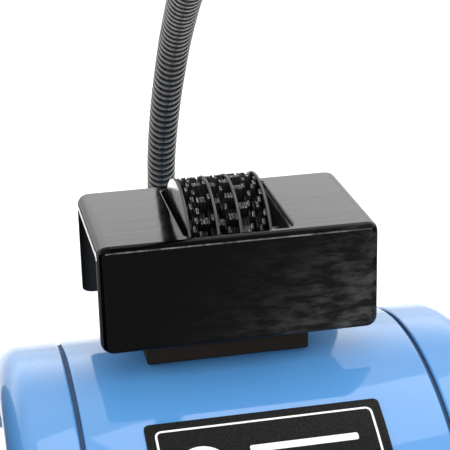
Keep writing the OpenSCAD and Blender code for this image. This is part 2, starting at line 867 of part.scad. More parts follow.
module dresser_channel() {
    color("#181818") at_spindle() difference() {
        translate([channel_x0, 0, 0]) rotate([90, 0, 90])
            linear_extrude(channel_x1 - channel_x0) channel_outline();
        translate([(window_x0 + window_x1) / 2, (window_y0 + window_y1) / 2, 0])
            round_plate(window_x1 - window_x0, window_y1 - window_y0, channel_z1 - 5,
                        channel_z1 + 2, 2);
    }
}

module cutter_block() {
    y1 = channel_y1 - channel_t - 0.3;
    z1 = channel_z1 - channel_t - 0.2;
    color("#2c2c2c") at_spindle() difference() {
        translate([block_x0, block_y0, 66]) cube([block_x1 - block_x0, y1 - block_y0, z1 - 66]);
        rod_x(block_x0 - 1, block_x1 + 1, motor_r + 0.3);
        translate([window_x0, channel_y0, cutter_z - disc_r - 1])
            cube([window_x1 - window_x0 + 0.5, channel_d, 60]);
        rod_x(block_x0 - 1, block_x1 + 1, pin_r + 0.02, cutter_y, cutter_z);
    }
}

// Pin through the block, on which the cutters turn
module cutter_pin() {
    color("silver") at_spindle() rod_x(block_x0, block_x1, pin_r, cutter_y, cutter_z);
}

module spacer_discs() {
    color("silver") at_spindle() for (x = disc_x) difference() {
        rod_x(x - disc_t / 2, x + disc_t / 2, disc_r, cutter_y, cutter_z);
        rod_x(x - disc_t, x + disc_t, pin_r + 0.02, cutter_y, cutter_z);
    }
}

// Toothed disc, drawn as an outline whose teeth have flat tips
module star(x0, x1, phase) {
    root_r = disc_r - 4;
    tip_r = disc_r - 0.6;
    pitch = 360 / star_teeth;
    at_spindle() translate([x0, cutter_y, cutter_z]) rotate([90, 0, 90])
        linear_extrude(x1 - x0) difference() {
            polygon([for (i = [0:star_teeth - 1], p = [[0, tip_r], [0.32, tip_r], [0.5, root_r],
                                                       [0.82, root_r]])
                let (a = (i + p[0]) * pitch + phase) [p[1] * cos(a), p[1] * sin(a)]]);
            circle(pin_r + 0.06);
        }
}

// Cutters between two smooth discs, side by side; widths are shares of the space
module cutter_group(i, widths) {
    x0 = disc_x[i] + disc_t / 2 + 0.2;
    space = disc_x[i + 1] - disc_t / 2 - 0.2 - x0;
    total = sum(widths, len(widths));
    color("silver") for (k = [0:len(widths) - 1])
        star(x0 + space * sum(widths, k) / total,
             x0 + space * sum(widths, k + 1) / total - 0.12, (k % 2) * 180 / star_teeth);
}

// Sum of the first n entries of a list
function sum(list, n) = n == 0 ? 0 : list[n - 1] + sum(list, n - 1);

module left_cutters() {
    cutter_group(0, [1, 1, 2.2, 1]);
}

module middle_cutters() {
    cutter_group(1, [1, 1]);
}

module right_cutters() {
    cutter_group(2, [2.2, 1, 1, 1]);
}

base_casting();
base_cover();
rubber_feet();
base_screws();
switch_body();
switch_rocker();
capacitor();
capacitor_clip();
terminal_block();
cable_gland();
motor_sleeve();
left_end_shield();
right_end_shield();
tie_bolts();
stator_core();
stator_windings();
rotor();
spindle_shaft();
bearing_outer_rings();
bearing_inner_rings();
bearing_balls();
wave_washer();
rating_label();
left_guard();
right_guard();
guard_covers();
guard_screws();
left_wheel();
right_wheel();
inner_flanges();
outer_flanges();
blotters();
spindle_nuts();
left_deflector();
right_deflector();
deflector_knobs();
rest_brackets();
left_rest();
right_rest();
rest_knobs();
left_eye_shield();
right_eye_shield();
left_shield_arm();
right_shield_arm();
shield_pivots();
lamp_socket();
neck_root();
neck_lower();
neck_middle();
neck_upper();
lamp_shade();
lamp_bulb();
lamp_button();
dresser_channel();
cutter_block();
cutter_pin();
spacer_discs();
left_cutters();
middle_cutters();
right_cutters();
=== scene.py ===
import math

import bmesh
import bpy
from mathutils import Matrix, Vector


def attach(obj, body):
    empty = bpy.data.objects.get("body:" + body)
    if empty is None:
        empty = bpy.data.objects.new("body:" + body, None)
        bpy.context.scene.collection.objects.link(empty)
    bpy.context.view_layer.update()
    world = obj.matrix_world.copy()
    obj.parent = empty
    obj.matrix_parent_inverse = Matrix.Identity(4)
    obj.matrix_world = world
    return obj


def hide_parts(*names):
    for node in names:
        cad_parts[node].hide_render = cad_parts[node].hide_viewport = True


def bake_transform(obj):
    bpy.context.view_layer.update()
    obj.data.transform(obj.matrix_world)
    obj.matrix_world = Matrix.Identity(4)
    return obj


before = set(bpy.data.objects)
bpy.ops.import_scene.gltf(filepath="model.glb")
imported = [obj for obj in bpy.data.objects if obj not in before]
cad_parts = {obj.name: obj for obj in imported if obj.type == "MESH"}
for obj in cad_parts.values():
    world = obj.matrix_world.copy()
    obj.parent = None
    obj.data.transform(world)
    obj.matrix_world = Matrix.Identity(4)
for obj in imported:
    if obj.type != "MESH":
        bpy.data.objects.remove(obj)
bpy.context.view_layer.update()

# ---------------------------------------------------------------- sizes, in mm

MM = 0.001
AXIS_H = 160.0  # spindle above the bench
MOTOR_R = 70.7
SLEEVE_HALF = 44.5
SLEEVE_T = 3.0
SEAM_X = 45.6  # where each end shield's rim starts
LIP_R = 69.5  # floor of the seam
SHOULDER_R = 7.5
RIM_W = 9.8
FACE_X = SEAM_X + RIM_W + SHOULDER_R
NECK_R = 38.0  # between the motor and each wheel guard
GUARD_X = 112.0
BEARING_OUT_R = 23.5
BEARING_STOPS = (98.05, 99.5)  # what each bearing stands against, left and right
CHANNEL_X = (-37.0, 34.25)
CHANNEL_Y = (-11.4, 31.15)
CHANNEL_Z = (AXIS_H + 77.6, AXIS_H + 105.9)
CHANNEL_T = 2.0
CHANNEL_ROLL = (3.2, 2.2)  # rolled ends: length along the channel, depth
END_BAND = 4.0  # upper part of each end face
GLINT_FROM = -0.238  # where the painted ripple highlights on the channel's paint begin, in metres
WINDOW_X = (-14.6, 12.9)
WINDOW_Y = (-8.4, 28.1)
CUTTER_Y = (CHANNEL_Y[0] + CHANNEL_Y[1]) / 2
DISC_R = 19.0
CUTTER_RISE = 8.1  # how far the discs stand out of the channel
CUTTER_Z = CHANNEL_Z[1] + CUTTER_RISE - DISC_R
STAR_TEETH = 18
TOOTH_DEPTH = 4.4
DISC_X = (-13.15, -5.8, 0.0, 7.5)  # middle of each smooth disc
PIN_R = 4.0
LABEL_TOP = math.radians(22.7)  # forward from the top of the motor
LABEL_X = (-30.0, 29.0)
LABEL_ARC = math.radians(31.0)
LABEL_T = 0.35
LABEL_GAP = 0.05  # under the label, and under its printing
PRINT_T = 0.03
TUBE_R = 4.4  # flexible neck
NECK_ROUTE = [  # from the spindle's height
    (0, 76, -20), (0, 91, -20), (0, 105, -18), (0, 118, -11), (0, 127, 0),
    (-0.2, 130.5, 15), (-0.4, 129.5, 32), (-0.8, 124.5, 48), (-1.4, 116.5, 64),
    (-2.2, 106, 79), (-3.5, 94.5, 93), (-4.4, 83, 106), (-5.1, 71.5, 118),
    (-5.8, 58.5, 130), (-6.6, 44.5, 141.5), (-7.6, 29.5, 151.5), (-8.8, 14, 160.5),
    (-9.5, -2, 169.5), (-10, -16, 180), (-10, -27, 194), (-10, -35, 210),
    (-10, -42, 227), (-10, -49, 244), (-10, -58, 261), (-10, -70, 276),
    (-10, -86, 287), (-10, -103, 290), (-10, -118, 285), (-10, -129, 276),
]
NECK_JOINTS = (5, 17, 22)  # points of the route
NECK_PITCH = 3.3
ROUTE_STEPS = 60  # between two points of the route

# ---------------------------------------------------------------- mesh helpers


def new_piece(name, points, faces, smooth_angle=35):
    """A mesh object from points in mm, shaded smooth below an angle."""
    mesh = bpy.data.meshes.new(name)
    mesh.from_pydata([Vector(p) * MM for p in points], [], faces)
    mesh.validate()
    obj = bpy.data.objects.new(name, mesh)
    bpy.context.scene.collection.objects.link(obj)
    tidy_normals(obj, smooth_angle)
    return obj


def tidy_normals(obj, smooth_angle=35):
    """Closed normals outwards, then smooth shading with sharp edges above an angle."""
    mesh = bmesh.new()
    mesh.from_mesh(obj.data)
    bmesh.ops.recalc_face_normals(mesh, faces=mesh.faces)
    mesh.to_mesh(obj.data)
    mesh.free()
    obj.data.shade_smooth()
    obj.data.set_sharp_from_angle(angle=math.radians(smooth_angle))


def apply_modifiers(obj):
    """Writes the object's modifiers into its mesh."""
    depsgraph = bpy.context.evaluated_depsgraph_get()
    baked = bpy.data.meshes.new_from_object(obj.evaluated_get(depsgraph))
    obj.modifiers.clear()
    obj.data = baked


def bevel(obj, width, segments=2, angle=30, smooth_angle=35):
    """Rounds the edges sharper than an angle; width in mm."""
    modifier = obj.modifiers.new("round", "BEVEL")
    modifier.width = width * MM
    modifier.segments = segments
    modifier.limit_method = "ANGLE"
    modifier.angle_limit = math.radians(angle)
    modifier.use_clamp_overlap = True
    apply_modifiers(obj)
    obj.data.shade_smooth()
    obj.data.set_sharp_from_angle(angle=math.radians(smooth_angle))


def flatten_shading(obj):
    """Normals led by the large flats, so that reflections in them stay straight."""
    modifier = obj.modifiers.new("flat", "WEIGHTED_NORMAL")
    modifier.mode = "FACE_AREA"
    modifier.weight = 100
    modifier.keep_sharp = True
    apply_modifiers(obj)


def cut(obj, cutter):
    """Subtracts a second object and removes it."""
    modifier = obj.modifiers.new("cut", "BOOLEAN")
    modifier.operation = "DIFFERENCE"
    modifier.solver = "EXACT"
    modifier.object = cutter
    apply_modifiers(obj)
    bpy.data.objects.remove(cutter)


def join(name, pieces):
    """Several objects as one; their materials are not carried over."""
    mesh = bmesh.new()
    for piece in pieces:
        mesh.from_mesh(piece.data)
    data = bpy.data.meshes.new(name)
    mesh.to_mesh(data)
    mesh.free()
    for piece in pieces:
        bpy.data.objects.remove(piece)
    obj = bpy.data.objects.new(name, data)
    bpy.context.scene.collection.objects.link(obj)
    tidy_normals(obj)
    return obj


def dress(obj, body, slot, material, *nodes):
    """Gives a piece its material and body, and hides the nodes it stands for; slot is not used."""
    obj.data.materials.clear()
    obj.data.materials.append(material)
    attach(obj, body)
    if nodes:
        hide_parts(*nodes)
    return obj


def arc(cx, cy, r, a0, a1, n=8):
    """Points of an arc, angles in degrees."""
    turn = [math.radians(a0 + (a1 - a0) * i / n) for i in range(n + 1)]
    return [(cx + r * math.cos(a), cy + r * math.sin(a)) for a in turn]


def lathe(name, profile, side=1, steps=160, centre=(0, AXIS_H), smooth_angle=35):
    """Turns a closed outline of (radius, x) about a line along X through centre (y, z)."""
    points, faces, count = [], [], len(profile)
    for i in range(steps):
        a = 2 * math.pi * i / steps
        for r, x in profile:
            points.append((side * x, centre[0] + r * math.sin(a), centre[1] + r * math.cos(a)))
    for i in range(steps):
        j = (i + 1) % steps
        for k in range(count):
            n = (k + 1) % count
            faces.append((i * count + k, j * count + k, j * count + n, i * count + n))
    obj = new_piece(name, points, faces, smooth_angle)
    mesh = bmesh.new()
    mesh.from_mesh(obj.data)
    bmesh.ops.remove_doubles(mesh, verts=mesh.verts, dist=1e-7)
    bmesh.ops.dissolve_degenerate(mesh, edges=mesh.edges, dist=1e-7)
    mesh.to_mesh(obj.data)
    mesh.free()
    tidy_normals(obj, smooth_angle)
    return obj


def loft(name, loops, smooth_angle=35):
    """Skin over loops with the same number of points, closed at both ends."""
    n, last = len(loops[0]), (len(loops) - 1) * len(loops[0])
    points = [point for loop in loops for point in loop]
    faces = []
    for k in range(len(loops) - 1):
        for i in range(n):
            j = (i + 1) % n
            faces.append((k * n + i, k * n + j, (k + 1) * n + j, (k + 1) * n + i))
    faces.append(tuple(range(n - 1, -1, -1)))
    faces.append(tuple(range(last, last + n)))
    return new_piece(name, points, faces, smooth_angle)


def prism(name, outline, x0, x1, smooth_angle=35):
    """An outline of (y, z) points drawn out from x0 to x1."""
    n = len(outline)
    points = [(x0, y, z) for y, z in outline] + [(x1, y, z) for y, z in outline]
    faces = [tuple(range(n)), tuple(range(2 * n - 1, n - 1, -1))]
    faces += [(i, i + n, (i + 1) % n + n, (i + 1) % n) for i in range(n)]
    return new_piece(name, points, faces, smooth_angle)


def soften(node, body, slot, material, width=0.5, segments=2, smooth_angle=35):
    """A CAD node with its flats merged and its edges rounded, as a piece of its own."""
    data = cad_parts[node].data.copy()
    obj = bpy.data.objects.new(node + "_finished", data)
    bpy.context.scene.collection.objects.link(obj)
    mesh = bmesh.new()
    mesh.from_mesh(data)
    bmesh.ops.remove_doubles(mesh, verts=mesh.verts, dist=2e-6)
    bmesh.ops.dissolve_limit(mesh, angle_limit=math.radians(0.6), verts=mesh.verts,
                             edges=mesh.edges)
    mesh.to_mesh(data)
    mesh.free()
    bevel(obj, width, segments, 32, smooth_angle)
    return dress(obj, body, slot, material, node)


# ---------------------------------------------------------------- materials


class Shader:
    """A node material with a Principled shader and short ways to add nodes."""

    def __init__(self, name, colour, roughness, metallic=0.0, **sockets):
        self.material = bpy.data.materials.new(name)
        self.material.use_nodes = True
        self.tree = self.material.node_tree
        self.shader = self.tree.nodes["Principled BSDF"]
        self.set("Base Color", (*colour, 1.0))
        self.set("Roughness", roughness)
        self.set("Metallic", metallic)
        for socket, value in sockets.items():
            self.set(socket.replace("_", " "), value)

    def set(self, socket, value):
        self.shader.inputs[socket].default_value = value

    def node(self, kind, inputs=(), **settings):
        made = self.tree.nodes.new(kind)
        for key, value in settings.items():
            setattr(made, key, value)
        for socket, value in dict(inputs).items():
            if isinstance(value, bpy.types.NodeSocket):
                self.tree.links.new(value, made.inputs[socket])
            else:
                made.inputs[socket].default_value = value
        return made

    def place(self, scale=(1, 1, 1)):
        """Object coordinates in metres, stretched by a scale for each axis."""
        coord = self.node("ShaderNodeTexCoord").outputs["Object"]
        return self.node("ShaderNodeMapping", {"Vector": coord, "Scale": scale}).outputs["Vector"]

    def noise(self, scale, detail=3.0, stretch=(1, 1, 1), roughness=0.5):
        inputs = {"Vector": self.place(stretch), "Scale": scale, "Detail": detail,
                  "Roughness": roughness}
        return self.node("ShaderNodeTexNoise", inputs).outputs["Fac"]

    def ramp(self, value, stops):
        """Maps a value through (position, grey or colour) stops."""
        made = self.node("ShaderNodeValToRGB", {"Fac": value})
        elements = made.color_ramp.elements
        while len(elements) < len(stops):
            elements.new(0.5)
        for element, (position, tone) in zip(elements, stops):
            element.position = position
            element.color = (*tone, 1) if isinstance(tone, tuple) else (tone, tone, tone, 1)
        return made.outputs["Color"]

    def math(self, operation, a, b=0.0, c=0.0):
        made = self.node("ShaderNodeMath", operation=operation)
        for socket, value in zip(made.inputs, (a, b, c)):
            if isinstance(value, bpy.types.NodeSocket):
                self.tree.links.new(value, socket)
            else:
                socket.default_value = value
        return made.outputs[0]

    def mix(self, factor, a, b):
        made = self.node("ShaderNodeMix", data_type="RGBA")
        for index, value in ((0, factor), (6, a), (7, b)):
            if isinstance(value, bpy.types.NodeSocket):
                self.tree.links.new(value, made.inputs[index])
            elif index:
                made.inputs[index].default_value = (*value, 1)
            else:
                made.inputs[index].default_value = value
        return made.outputs[2]

    def link(self, value, socket):
        self.tree.links.new(value, self.shader.inputs[socket])

    def bump(self, height, distance, strength=1.0, under=None):
        inputs = {"Height": height, "Distance": distance * MM, "Strength": strength}
        if under is not None:
            inputs["Normal"] = under
        made = self.node("ShaderNodeBump", inputs).outputs["Normal"]
        self.tree.links.new(made, self.shader.inputs["Normal"])
        return made


def blue_paint():
    """Sprayed gloss enamel: faint orange peel, a little dust in the coat."""
    s = Shader("blue_paint", (0.075, 0.28, 0.65), 0.5, Specular_Tint=(0, 0, 0, 1),
               Coat_Weight=1.0, Coat_Roughness=0.06, Coat_IOR=1.5)
    cloud = s.noise(9, 4)
    s.link(s.mix(s.ramp(cloud, [(0.3, 0.0), (0.7, 1.0)]), (0.074, 0.262, 0.590),
                 (0.090, 0.287, 0.620)), "Base Color")
    peel = s.noise(260, 2)
    s.link(s.ramp(s.noise(900, 2), [(0.3, 0.36), (0.7, 0.5)]), "Roughness")
    s.bump(peel, 0.05, 0.25)
    return s.material


def channel_paint():
    """Thick gloss black put on with a brush: long streaks, and painted highlights of ripples
    towards one low corner.
    """
    s = Shader("channel_paint", (0.004, 0.004, 0.004), 0.08,
               Specular_Tint=(0.09, 0.09, 0.09, 1))
    streak = s.noise(420, 3, (0.07, 1, 1), 0.6)
    wave = s.noise(90, 2, (0.25, 1, 1))
    s.link(s.ramp(streak, [(0.25, 0.05), (0.75, 0.13)]), "Roughness")
    # Painted highlights: pale ripples in the base colour, growing towards the lower right corner.
    ripple_glints = s.ramp(s.noise(560, 4, (0.30, 1, 1), 0.65), [(0.42, 0.12), (0.64, 1.0)])
    split = s.node("ShaderNodeSeparateXYZ", {"Vector": s.place()})
    lean = s.math("MULTIPLY_ADD", split.outputs["Z"], -0.9, split.outputs["X"])
    ragged = s.math("MULTIPLY_ADD", s.noise(60, 3), 0.02, lean)
    patch = s.node("ShaderNodeMapRange", {"Value": ragged, "From Min": GLINT_FROM,
                                          "From Max": GLINT_FROM + 0.075}).outputs["Result"]
    painted_glints = s.math("MULTIPLY", ripple_glints, s.math("POWER", patch, 2.6))
    s.link(s.mix(painted_glints, (0.0005, 0.0005, 0.0005), (0.110, 0.110, 0.110)), "Base Color")
    coarse = s.bump(wave, 0.25, 0.25)
    s.bump(streak, 0.10, 0.45, coarse)
    return s.material


def painted_fold_highlight():
    """A broken pale line along a fold: a painted highlight."""
    s = Shader("painted_fold_highlight", (0.02, 0.02, 0.02), 0.3)
    breaks = s.ramp(s.noise(260, 4, (1, 0.2, 0.2), 0.7), [(0.40, 0.0), (0.62, 1.0)])
    s.link(s.mix(breaks, (0.010, 0.010, 0.010), (0.16, 0.16, 0.16)), "Base Color")
    return s.material


def black_coat(name="guard_paint", tone=0.022, roughness=0.42):
    """Powder coat with its fine orange peel, worn lighter where the coat is thin."""
    s = Shader(name, (tone,) * 3, roughness)
    s.link(s.mix(s.noise(14, 5), (tone * 0.8,) * 3, (tone * 1.35,) * 3), "Base Color")
    s.link(s.ramp(s.noise(420, 2), [(0.3, roughness - 0.06), (0.7, roughness + 0.08)]),
           "Roughness")
    s.bump(s.noise(620, 2), 0.08, 0.4)
    return s.material


def moulded(name, colour, roughness=0.5, grain=0.06, **sockets):
    """Moulded plastic with a spark-eroded grain."""
    s = Shader(name, colour, roughness, **sockets)
    dark = tuple(c * 0.82 for c in colour)
    s.link(s.mix(s.noise(18, 4), dark, colour), "Base Color")
    s.link(s.ramp(s.noise(1100, 2), [(0.3, roughness - 0.07), (0.7, roughness + 0.08)]),
           "Roughness")
    s.bump(s.noise(1500, 2), grain, 0.4)
    return s.material


def metal(name, colour, roughness, stretch=(1, 1, 1), marks=0.05, scale=500):
    """Bare or plated steel with tool marks along one direction."""
    s = Shader(name, colour, roughness, 1.0)
    line = s.noise(scale, 3, stretch, 0.6)
    cloud = s.noise(30, 4)
    dark = tuple(c * 0.78 for c in colour)
    s.link(s.mix(cloud, dark, colour), "Base Color")
    s.link(s.ramp(line, [(0.25, max(0.05, roughness - 0.08)), (0.75, roughness + 0.1)]),
           "Roughness")
    s.bump(line, marks, 0.35)
    return s.material


def worn_steel(name, dark, light, roughness):
    """Blackened steel rubbed bright in places, in lines round the disc."""
    s = Shader(name, (light,) * 3, roughness, 1.0)
    line = s.noise(700, 4, (4, 1, 1), 0.7)
    s.link(s.mix(s.ramp(line, [(0.45, 0.0), (0.68, 1.0)]), (dark,) * 3, (light,) * 3),
           "Base Color")
    s.bump(line, 0.1, 0.5)
    return s.material


def abrasive(name, light, dark):
    """Bonded grain: light and dark grains with pits between them."""
    s = Shader(name, light, 0.85)
    cells = s.node("ShaderNodeTexVoronoi", {"Vector": s.place(), "Scale": 900.0})
    s.link(s.mix(s.ramp(cells.outputs["Color"], [(0.25, 0.0), (0.75, 1.0)]), dark, light),
           "Base Color")
    pits = s.math("MULTIPLY_ADD", s.noise(700, 2), 0.6, cells.outputs["Distance"])
    s.bump(pits, 0.5, 0.7)
    return s.material


def label_film():
    """Dark printed film with a fine light speckle under a satin lacquer."""
    s = Shader("label_film", (0.035, 0.035, 0.036), 0.5, Specular_Tint=(0.1, 0.1, 0.1, 1))
    speck = s.ramp(s.noise(2600, 2, (1, 1, 1), 0.7), [(0.42, 0.0), (0.62, 1.0)])
    s.link(s.mix(speck, (0.003, 0.003, 0.0031), (0.015, 0.015, 0.0155)), "Base Color")
    s.bump(s.noise(1800, 2), 0.02, 0.3)
    return s.material


def white_print():
    """White ink, slightly uneven."""
    s = Shader("white_print", (0.86, 0.86, 0.85), 0.45)
    s.link(s.mix(s.noise(900, 3), (0.78, 0.78, 0.77), (0.9, 0.9, 0.89)), "Base Color")
    return s.material


def clear_sheet():
    """Polycarbonate with a little wear in its gloss."""
    s = Shader("clear_sheet", (0.93, 0.97, 0.98), 0.02, Transmission_Weight=1.0, IOR=1.45,
               Alpha=0.30)
    s.link(s.ramp(s.noise(60, 5), [(0.4, 0.0), (0.9, 0.04)]), "Roughness")
    return s.material


def bulb_glass():
    """Frosted white bulb, unlit."""
    s = Shader("bulb_glass", (0.90, 0.90, 0.86), 0.28, Subsurface_Weight=0.25)
    s.set("Subsurface Scale", 0.004)
    s.link(s.mix(s.noise(80, 3), (0.86, 0.86, 0.82), (0.93, 0.93, 0.90)), "Base Color")
    return s.material


def copper():
    """Enamelled wire laid in turns."""
    s = Shader("copper", (0.55, 0.22, 0.08), 0.3, 0.9)
    turns = s.node("ShaderNodeTexWave", {"Vector": s.place(), "Scale": 700.0, "Distortion": 3.0})
    s.link(s.mix(turns.outputs["Fac"], (0.30, 0.10, 0.04), (0.62, 0.26, 0.10)), "Base Color")
    s.bump(turns.outputs["Fac"], 0.3, 0.8)
    return s.material


def rubber():
    """Matt black rubber."""
    s = Shader("rubber", (0.02, 0.02, 0.02), 0.8)
    s.link(s.mix(s.noise(40, 4), (0.015, 0.015, 0.015), (0.03, 0.03, 0.03)), "Base Color")
    s.bump(s.noise(900, 3), 0.1, 0.5)
    return s.material


def card(name, light, dark):
    """Pressed paper with fibres."""
    s = Shader(name, light, 0.9)
    s.link(s.mix(s.noise(500, 5, (1, 3, 1)), dark, light), "Base Color")
    s.bump(s.noise(900, 4), 0.1, 0.5)
    return s.material


BLUE = blue_paint()
CHANNEL = channel_paint()
FOLD_HIGHLIGHT = painted_fold_highlight()
PRIMER = black_coat("primer", 0.0065, 0.6)
END_HIGHLIGHT = metal("painted_end_highlight", (0.80, 0.80, 0.80), 0.35)
SEAM_SHADE = moulded("seam_shadow", (0.03, 0.075, 0.16), 0.7)
GUARD = black_coat()
LAMP = black_coat("lamp_paint", 0.012, 0.22)
BLACK = moulded("black_plastic", (0.022, 0.022, 0.023))
BLOCK = moulded("block_plastic", (0.022, 0.017, 0.014), 0.8, 0.1, Specular_IOR_Level=0.1)
NECK = moulded("neck_coating", (0.0105, 0.009, 0.008), 0.30, 0.03,
               Specular_Tint=(0.76, 0.73, 0.70, 1))
RED = moulded("red_plastic", (0.55, 0.03, 0.02), 0.3, 0.03)
WHITE = moulded("white_plastic", (0.78, 0.78, 0.76), 0.45)
RUBBER = rubber()
STEEL = metal("steel", (0.58, 0.58, 0.59), 0.3, (1, 1, 1), 0.04)
ZINC = metal("zinc", (0.66, 0.67, 0.69), 0.28, (1, 1, 1), 0.03, 300)
CUTTER = black_coat("cutter_steel", 0.006, 0.55)
TIP_WEAR_AND_SHEEN = worn_steel("worn_tips_and_sheen", 0.03, 0.10, 0.5)
EDGE_WEAR_AND_GLINTS = worn_steel("worn_edges_and_glints", 0.02, 0.55, 0.35)
DISC = metal("disc_steel", (0.09, 0.09, 0.092), 0.45, (1, 1, 1), 0.03)
DISC_SIDE = metal("disc_side", (0.50, 0.50, 0.505), 0.16, (1, 1, 1), 0.005)
LAMINATIONS = metal("laminations", (0.33, 0.33, 0.34), 0.45, (12, 0.2, 0.2), 0.2, 120)
ALLOY = metal("rotor_alloy", (0.72, 0.72, 0.73), 0.4, (1, 1, 1), 0.08, 200)
GREY_GRIT = abrasive("abrasive_grey", (0.30, 0.30, 0.31), (0.10, 0.10, 0.105))
WHITE_GRIT = abrasive("abrasive_white", (0.72, 0.71, 0.68), (0.45, 0.44, 0.42))
PAPER = card("blotter_paper", (0.55, 0.50, 0.36), (0.40, 0.36, 0.25))
FILM = label_film()
PRINT = white_print()
CLEAR = clear_sheet()
BULB = bulb_glass()
COPPER = copper()

# ---------------------------------------------------------------- motor


def motor_sleeve():
    """Rolled sheet sleeve with slightly turned-in ends."""
    inner, half, roll = MOTOR_R - SLEEVE_T, SLEEVE_HALF, 0.5
    profile = [(inner, -half), (MOTOR_R - roll, -half)]
    profile += arc(MOTOR_R - roll, -half + roll, roll, -60, 0, 3)
    profile += [(MOTOR_R, x) for x in (-30, 0, 30)]
    profile += arc(MOTOR_R - roll, half - roll, roll, 0, 60, 3)
    profile += [(MOTOR_R - roll, half), (inner, half)]
    obj = lathe("sleeve_shell", profile, steps=256)
    dress(obj, "motor", "blue_paint", BLUE, "motor_sleeve")


def shade_seam_floor(obj):
    """Second material: painted shade on the floor of the groove beside the sleeve."""
    obj.data.materials.append(SEAM_SHADE)
    for face in obj.data.polygons:
        centre = face.center / MM
        depth = MOTOR_R - math.hypot(centre.y, centre.z - AXIS_H)
        if SLEEVE_HALF - 1 < abs(centre.x) < SEAM_X + 0.1 and 0.5 < depth < 2:
            face.material_index = 1


def end_shield(side, stop_x):
    """Cast end shield with its spigot, shoulder, neck and flange; stop_x backs its bearing."""
    edge, spigot = 0.6, MOTOR_R - SLEEVE_T - 0.1
    outside = [(LIP_R, SLEEVE_HALF + 0.05), (LIP_R, SEAM_X), (MOTOR_R - edge, SEAM_X)]
    outside += arc(MOTOR_R - edge, SEAM_X + edge, edge, -60, 0, 3)
    outside += arc(MOTOR_R - SHOULDER_R, FACE_X - SHOULDER_R, SHOULDER_R, 0, 90, 20)
    outside += arc(NECK_R + 5, FACE_X + 5, 5, -90, -180, 10)
    outside += [(NECK_R, 90), (NECK_R, 103)]
    outside += arc(NECK_R + 2, 103, 2, 180, 90, 5)
    outside += arc(44.8, 106.2, 1.2, -90, 0, 4)
    inside = [(46, GUARD_X), (11, GUARD_X), (11, stop_x), (BEARING_OUT_R, stop_x),
              (BEARING_OUT_R, 82), (34, 82), (34, 68), (40, FACE_X - 5), (56, FACE_X - 5),
              (66.2, SEAM_X + 4), (64.5, 40), (spigot, 40), (spigot, SLEEVE_HALF + 0.05)]
    name = "right" if side > 0 else "left"
    obj = lathe(name + "_shield_casting", outside + inside, side, 256)
    dress(obj, "motor", "blue_paint", BLUE, name + "_end_shield")
    shade_seam_floor(obj)


def rounded_rectangle(x0, x1, y0, y1, r, n=6):
    """Points of a rounded rectangle, anticlockwise."""
    return (arc(x1 - r, y1 - r, r, 0, 90, n) + arc(x0 + r, y1 - r, r, 90, 180, n)
            + arc(x0 + r, y0 + r, r, 180, 270, n) + arc(x1 - r, y0 + r, r, 270, 360, n))


def on_motor(u, v, lift):
    """A point of the label: u along X, v mm down from its upper edge, lifted off the sleeve."""
    r = MOTOR_R + lift
    a = LABEL_TOP + v / MOTOR_R
    return (u, -r * math.sin(a), AXIS_H + r * math.cos(a))


def sheet_patch(name, outline, lift, thick, rows=24):
    """A bent patch with any outline, cut from a fine grid of strips across the bend."""
    low, high = min(v for u, v in outline), max(v for u, v in outline)
    mesh = bmesh.new()
    flat = [mesh.verts.new((u, v, 0)) for u, v in outline]
    mesh.faces.new(flat)
    for k in range(1, rows):
        level = low + (high - low) * k / rows
        geometry = mesh.verts[:] + mesh.edges[:] + mesh.faces[:]
        bmesh.ops.bisect_plane(mesh, geom=geometry, plane_co=(0, level, 0), plane_no=(0, 1, 0))
    made = bmesh.ops.extrude_face_region(mesh, geom=mesh.faces[:])
    for vert in [g for g in made["geom"] if isinstance(g, bmesh.types.BMVert)]:
        vert.co.z = thick
    for vert in mesh.verts:
        vert.co = Vector(on_motor(vert.co.x, vert.co.y, lift + vert.co.z)) * MM
    data = bpy.data.meshes.new(name)
    mesh.to_mesh(data)
    mesh.free()
    obj = bpy.data.objects.new(name, data)
    bpy.context.scene.collection.objects.link(obj)
    tidy_normals(obj)
    return obj


def strip_patch(name, outer, inner, lift, thick):
    """A bent band between two loops with the same number of points."""
    n = len(outer)
    loops = [[on_motor(u, v, lift + h) for u, v in loop]
             for loop, h in ((outer, 0), (outer, thick), (inner, thick), (inner, 0))]
    points = [p for loop in loops for p in loop]
    faces = [(k * n + i, k * n + (i + 1) % n, (k + 1) % 4 * n + (i + 1) % n, (k + 1) % 4 * n + i)
             for k in range(4) for i in range(n)]
    return new_piece(name, points, faces)


def divided(loop, spans):
    """A loop with each of its sides cut into a number of parts, so that it can bend."""
    made = []
    for a, b, parts in zip(loop, loop[1:] + loop[:1], spans):
        made += [(a[0] + (b[0] - a[0]) * i / parts, a[1] + (b[1] - a[1]) * i / parts)
                 for i in range(parts)]
    return made


def label_rim(height):
    """White line just inside the label's edge."""
    inset, line, corner, longest = 2.3, 0.55, 1.7, 2.0
    loops = []
    for d in (inset, inset + line):
        r = corner - (d - inset)
        loops.append(rounded_rectangle(LABEL_X[0] + d, LABEL_X[1] - d, d, height - d, r, 5))
    outer, inner = loops
    spans = [max(1, round(math.dist(a, b) / longest)) for a, b in
             zip(outer, outer[1:] + outer[:1])]
    return strip_patch("rim", divided(outer, spans), divided(inner, spans), LABEL_T + LABEL_GAP,
                       PRINT_T)


def wheel_symbol(u, v):
    """A plain ring with its hub."""
    lift, rim_r, inner_r, hub_r = LABEL_T + LABEL_GAP, 7.0, 5.4, 1.8
    outer, inner = [arc(u, v, r, 0, 360, 40)[:-1] for r in (rim_r, inner_r)]
    hub = arc(u, v, hub_r, 0, 360, 20)[:-1]
    return [strip_patch("wheel", outer, inner, lift, PRINT_T),
            sheet_patch("hub", hub, lift, PRINT_T, 4)]


def plain_bars(u, v, lengths):
    """Bars under each other in place of lettering."""
    pitch, height, corner = 4.6, 1.9, 0.5
    made = []
    for row, length in enumerate(lengths):
        low = v + row * pitch
        bar = rounded_rectangle(u, u + length, low, low + height, corner, 3)
        made.append(sheet_patch("bar", bar, LABEL_T + LABEL_GAP, PRINT_T, 3))
    return made


